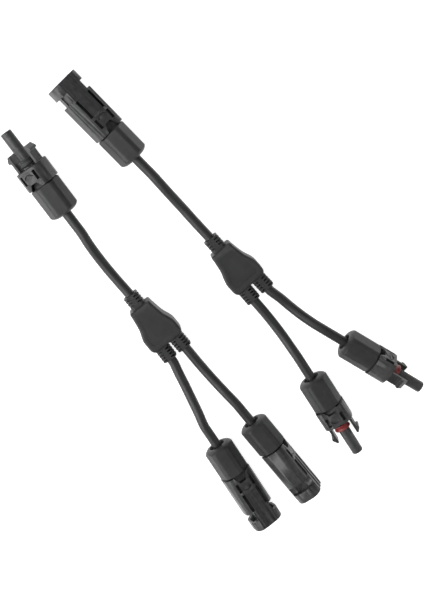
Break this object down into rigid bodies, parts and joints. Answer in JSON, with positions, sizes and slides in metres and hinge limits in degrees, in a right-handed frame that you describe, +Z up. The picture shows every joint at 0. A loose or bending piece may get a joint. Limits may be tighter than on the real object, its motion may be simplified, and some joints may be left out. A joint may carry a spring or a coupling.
{
  "type": "photovoltaic branch connector pair",
  "caption": "Solar cable branch leads with moulded Y junctions, threaded cap nuts, and latching plug and socket ends that mate with each other",
  "frame": {"origin": "middle of the flat underside of lead A's Y junction", "axes": "+Y runs along the leads towards their trunk cables, +Z is up from the surface that they lie on, +X points from lead A to lead B"},
  "size_m": [0.1397, 0.291, 0.0203],
  "materials": {
    "housing_moulding": "fine matt moulded plastic",
    "nut_moulding": "fine matt moulded plastic",
    "junction_moulding": "matt overmoulding",
    "cable_sheath": "satin extruded sheath",
    "red_seal": "silicone",
    "black_seal": "rubber",
    "tinned_contact": "tinned",
    "copper_splice": "bare copper"
  },
  "bodies": {
    "root": {"a_junction": "junction_moulding", "a_left_cable": "cable_sheath", "a_left_gland_seal": "black_seal", "a_left_housing": "housing_moulding", "a_left_pin_contact": "tinned_contact", "a_right_cable": "cable_sheath", "a_right_gland_seal": "black_seal", "a_right_housing": "housing_moulding", "a_right_pin_contact": "tinned_contact", "a_splice": "copper_splice", "a_trunk_cable": "cable_sheath", "a_trunk_gland_seal": "black_seal", "a_trunk_housing": "housing_moulding", "a_trunk_nose_seal": "black_seal", "a_trunk_tube_contact": "tinned_contact"},
    "lead_b": {"b_junction": "junction_moulding", "b_left_cable": "cable_sheath", "b_left_gland_seal": "black_seal", "b_left_housing": "housing_moulding", "b_left_nose_seal": "red_seal", "b_left_tube_contact": "tinned_contact", "b_right_cable": "cable_sheath", "b_right_gland_seal": "black_seal", "b_right_housing": "housing_moulding", "b_right_nose_seal": "red_seal", "b_right_tube_contact": "tinned_contact", "b_splice": "copper_splice", "b_trunk_cable": "cable_sheath", "b_trunk_gland_seal": "black_seal", "b_trunk_housing": "housing_moulding", "b_trunk_pin_contact": "tinned_contact"},
    "a_trunk_clamp": {"a_trunk_claw_ring": "housing_moulding"},
    "a_trunk_nut": {"a_trunk_cap_nut": "nut_moulding"},
    "a_trunk_arm_1": {"a_trunk_latch_arm_1": "housing_moulding"},
    "a_trunk_arm_2": {"a_trunk_latch_arm_2": "housing_moulding"},
    "a_left_clamp": {"a_left_claw_ring": "housing_moulding"},
    "a_left_nut": {"a_left_cap_nut": "nut_moulding"},
    "a_right_clamp": {"a_right_claw_ring": "housing_moulding"},
    "a_right_nut": {"a_right_cap_nut": "nut_moulding"},
    "b_trunk_clamp": {"b_trunk_claw_ring": "housing_moulding"},
    "b_trunk_nut": {"b_trunk_cap_nut": "nut_moulding"},
    "b_left_clamp": {"b_left_claw_ring": "housing_moulding"},
    "b_left_nut": {"b_left_cap_nut": "nut_moulding"},
    "b_left_arm_1": {"b_left_latch_arm_1": "housing_moulding"},
    "b_left_arm_2": {"b_left_latch_arm_2": "housing_moulding"},
    "b_right_clamp": {"b_right_claw_ring": "housing_moulding"},
    "b_right_nut": {"b_right_cap_nut": "nut_moulding"},
    "b_right_arm_1": {"b_right_latch_arm_1": "housing_moulding"},
    "b_right_arm_2": {"b_right_latch_arm_2": "housing_moulding"}
  },
  "joints": [
    {"name": "lead_b_lift", "type": "slide", "parent": "root", "child": "lead_b", "axis": [0, 0, 1], "range_m": [0, 0.1]},
    {"name": "a_trunk_nut_slide", "type": "slide", "parent": "root", "child": "a_trunk_clamp", "axis": [-0.0436, -0.999, 0], "range_m": [0, 0.00825]},
    {"name": "a_trunk_nut_turn", "type": "hinge", "parent": "a_trunk_clamp", "child": "a_trunk_nut", "pos_m": [0.0033, 0.1056, 0.00968], "axis": [-0.0436, -0.999, 0], "range_deg": [0, 991]},
    {"name": "a_trunk_latch_1", "type": "hinge", "parent": "root", "child": "a_trunk_arm_1", "pos_m": [-0.00276, 0.10887, 0.00611], "axis": [0.4995, -0.0218, -0.866], "range_deg": [0, 4.5], "stiffness_Nm_per_rad": 0.5},
    {"name": "a_trunk_latch_2", "type": "hinge", "parent": "root", "child": "a_trunk_arm_2", "pos_m": [0.00962, 0.10833, 0.01325], "axis": [-0.4995, 0.0218, 0.866], "range_deg": [0, 4.5], "stiffness_Nm_per_rad": 0.5},
    {"name": "a_left_nut_slide", "type": "slide", "parent": "root", "child": "a_left_clamp", "axis": [0.1063, 0.9943, 0], "range_m": [0, 0.00825]},
    {"name": "a_left_nut_turn", "type": "hinge", "parent": "a_left_clamp", "child": "a_left_nut", "pos_m": [-0.0199, -0.1053, 0.00909], "axis": [0.1063, 0.9943, 0], "range_deg": [0, 991]},
    {"name": "a_right_nut_slide", "type": "slide", "parent": "root", "child": "a_right_clamp", "axis": [-0.007, 1, 0], "range_m": [0, 0.00825]},
    {"name": "a_right_nut_turn", "type": "hinge", "parent": "a_right_clamp", "child": "a_right_nut", "pos_m": [0.0081, -0.107, 0.00998], "axis": [-0.007, 1, 0], "range_deg": [0, 991]},
    {"name": "b_trunk_nut_slide", "type": "slide", "parent": "lead_b", "child": "b_trunk_clamp", "axis": [0.1011, -0.9949, 0], "range_m": [0, 0.00825]},
    {"name": "b_trunk_nut_turn", "type": "hinge", "parent": "b_trunk_clamp", "child": "b_trunk_nut", "pos_m": [0.0514, 0.1051, 0.00953], "axis": [0.1011, -0.9949, 0], "range_deg": [0, 991]},
    {"name": "b_left_nut_slide", "type": "slide", "parent": "lead_b", "child": "b_left_clamp", "axis": [0.0993, 0.9951, 0], "range_m": [0, 0.00825]},
    {"name": "b_left_nut_turn", "type": "hinge", "parent": "b_left_clamp", "child": "b_left_nut", "pos_m": [0.0512, -0.1083, 0.00875], "axis": [0.0993, 0.9951, 0], "range_deg": [0, 991]},
    {"name": "b_left_latch_1", "type": "hinge", "parent": "lead_b", "child": "b_left_arm_1", "pos_m": [0.05795, -0.11199, 0.00975], "axis": [0.1385, -0.0138, -0.9903], "range_deg": [0, 4.5], "stiffness_Nm_per_rad": 0.5},
    {"name": "b_left_latch_2", "type": "hinge", "parent": "lead_b", "child": "b_left_arm_2", "pos_m": [0.04386, -0.11058, 0.00775], "axis": [-0.1385, 0.0138, 0.9903], "range_deg": [0, 4.5], "stiffness_Nm_per_rad": 0.5},
    {"name": "b_right_nut_slide", "type": "slide", "parent": "lead_b", "child": "b_right_clamp", "axis": [-0.3437, 0.9391, 0], "range_m": [0, 0.00825]},
    {"name": "b_right_nut_turn", "type": "hinge", "parent": "b_right_clamp", "child": "b_right_nut", "pos_m": [0.0901, -0.1014, 0.01015], "axis": [-0.3437, 0.9391, 0], "range_deg": [0, 991]},
    {"name": "b_right_latch_1", "type": "hinge", "parent": "lead_b", "child": "b_right_arm_1", "pos_m": [0.09397, -0.10318, 0.00367], "axis": [-0.8511, -0.3115, -0.4226], "range_deg": [0, 4.5], "stiffness_Nm_per_rad": 0.5},
    {"name": "b_right_latch_2", "type": "hinge", "parent": "lead_b", "child": "b_right_arm_2", "pos_m": [0.08829, -0.10526, 0.01663], "axis": [0.8511, 0.3115, 0.4226], "range_deg": [0, 4.5], "stiffness_Nm_per_rad": 0.5}
  ],
  "couplings": [
    {"joint": "a_trunk_nut_turn", "follows": "a_trunk_nut_slide", "rad_per_m": 2094.4},
    {"joint": "a_left_nut_turn", "follows": "a_left_nut_slide", "rad_per_m": 2094.4},
    {"joint": "a_right_nut_turn", "follows": "a_right_nut_slide", "rad_per_m": 2094.4},
    {"joint": "b_trunk_nut_turn", "follows": "b_trunk_nut_slide", "rad_per_m": 2094.4},
    {"joint": "b_left_nut_turn", "follows": "b_left_nut_slide", "rad_per_m": 2094.4},
    {"joint": "b_right_nut_turn", "follows": "b_right_nut_slide", "rad_per_m": 2094.4}
  ]
}
